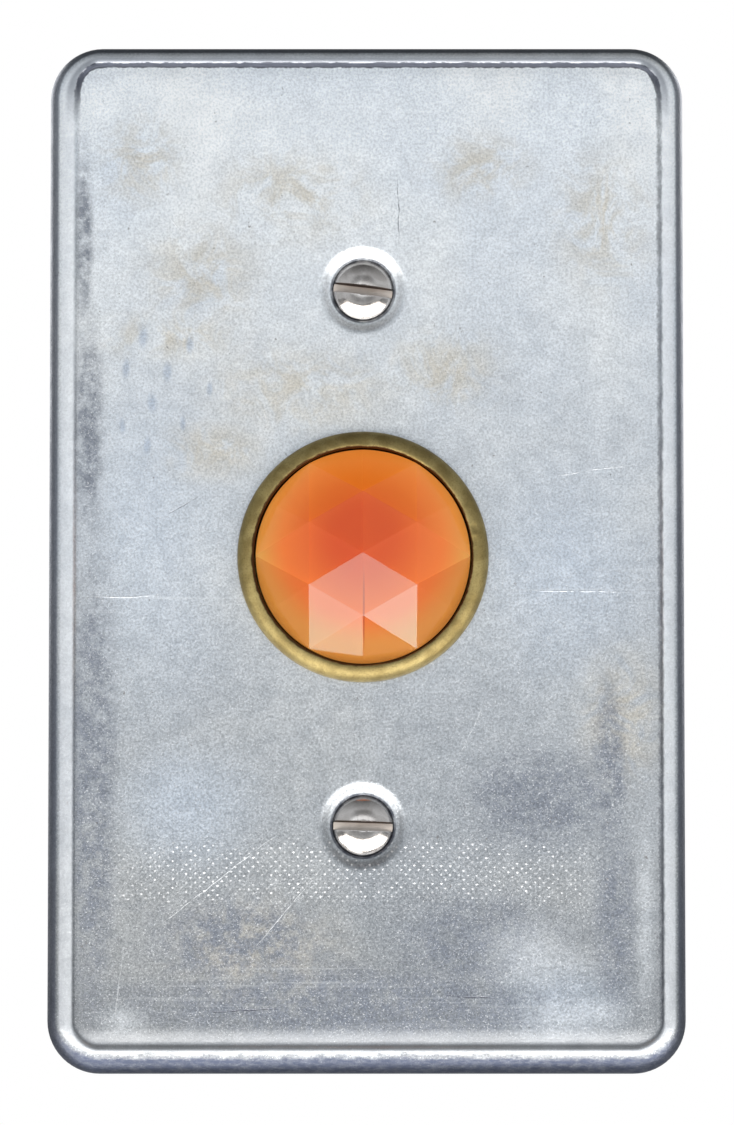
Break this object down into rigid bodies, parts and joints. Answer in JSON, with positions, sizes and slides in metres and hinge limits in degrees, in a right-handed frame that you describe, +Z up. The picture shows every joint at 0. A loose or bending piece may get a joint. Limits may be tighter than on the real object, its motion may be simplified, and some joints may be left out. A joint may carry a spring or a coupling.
{
  "type": "push button station",
  "caption": "Wall push-button station: pressed steel cover with rolled rim, faceted amber jewel button in a brass ring, and a strap-mounted switch body with a bayonet lamp behind.",
  "frame": {"origin": "on the button's axis, in the plane where the cover's rim and the strap's ears meet the wall box", "axes": "+X right as seen from the front, +Y into the wall along the button's axis, +Z up along the cover's long side"},
  "size_m": [0.0714, 0.0488, 0.1156],
  "materials": {
    "galvanised_steel": "zinc-galvanised sheet, fine grain, rubbed and stained",
    "bright_nickel": "nickel plate, slightly worn",
    "aged_brass": "aged brass, satin",
    "amber_glass": "faceted amber glass, glossy",
    "clear_glass": "clear glass",
    "brown_phenolic": "moulded brown phenolic, semi-gloss",
    "black_phenolic": "moulded black phenolic",
    "spring_steel": "drawn spring wire, oiled",
    "silver": "silver contact rivet",
    "phosphor_bronze": "rolled phosphor bronze",
    "seal_rubber": "black rubber",
    "tungsten": "drawn wire",
    "solder": "tin-lead solder"
  },
  "bodies": {
    "housing": {"cover_plate": "galvanised_steel", "plate_screw_top": "bright_nickel", "plate_screw_bottom": "bright_nickel", "bezel": "aged_brass", "bezel_washer": "galvanised_steel", "bezel_nut": "aged_brass", "mounting_strap": "galvanised_steel", "strap_screw_top": "galvanised_steel", "strap_screw_bottom": "galvanised_steel", "switch_block": "brown_phenolic", "rear_plate": "brown_phenolic", "body_screw_top": "galvanised_steel", "body_screw_bottom": "galvanised_steel", "body_nut_top": "galvanised_steel", "body_nut_bottom": "galvanised_steel", "return_spring": "spring_steel", "fixed_tip_left": "silver", "fixed_tip_right": "silver", "fixed_contact_left": "aged_brass", "fixed_contact_right": "aged_brass", "terminal_screw_lower_left": "aged_brass", "terminal_screw_lower_right": "aged_brass", "terminal_screw_upper_left": "aged_brass", "terminal_screw_upper_right": "aged_brass", "lamp_socket": "aged_brass", "lamp_terminal": "aged_brass", "centre_contact": "phosphor_bronze"},
    "button": {"jewel_lens": "amber_glass", "lens_seal": "seal_rubber", "lens_snap_ring": "spring_steel", "button_sleeve": "aged_brass", "plunger": "black_phenolic", "bridge_pin": "spring_steel", "contact_spring": "spring_steel"},
    "bridge": {"contact_bridge": "phosphor_bronze", "moving_tip_left": "silver", "moving_tip_right": "silver"},
    "lamp": {"lamp_glass": "clear_glass", "lamp_filament": "tungsten", "lamp_base": "aged_brass", "lamp_insulator": "black_phenolic", "lamp_tip": "solder"}
  },
  "joints": [
    {"name": "button_press", "type": "slide", "parent": "housing", "child": "button", "axis": [0, 1, 0], "range_m": [0, 0.0032], "stiffness_N_per_m": 900, "springref_m": -0.004, "deforming": ["return_spring"]},
    {"name": "bridge_float", "type": "slide", "parent": "button", "child": "bridge", "axis": [0, -1, 0], "range_m": [0, 0.001], "stiffness_N_per_m": 400, "springref_m": -0.001, "deforming": ["contact_spring"]},
    {"name": "lamp_twist", "type": "hinge", "parent": "housing", "child": "lamp", "pos_m": [0, 0, 0], "axis": [0, -1, 0], "range_deg": [0, 22]}
  ]
}
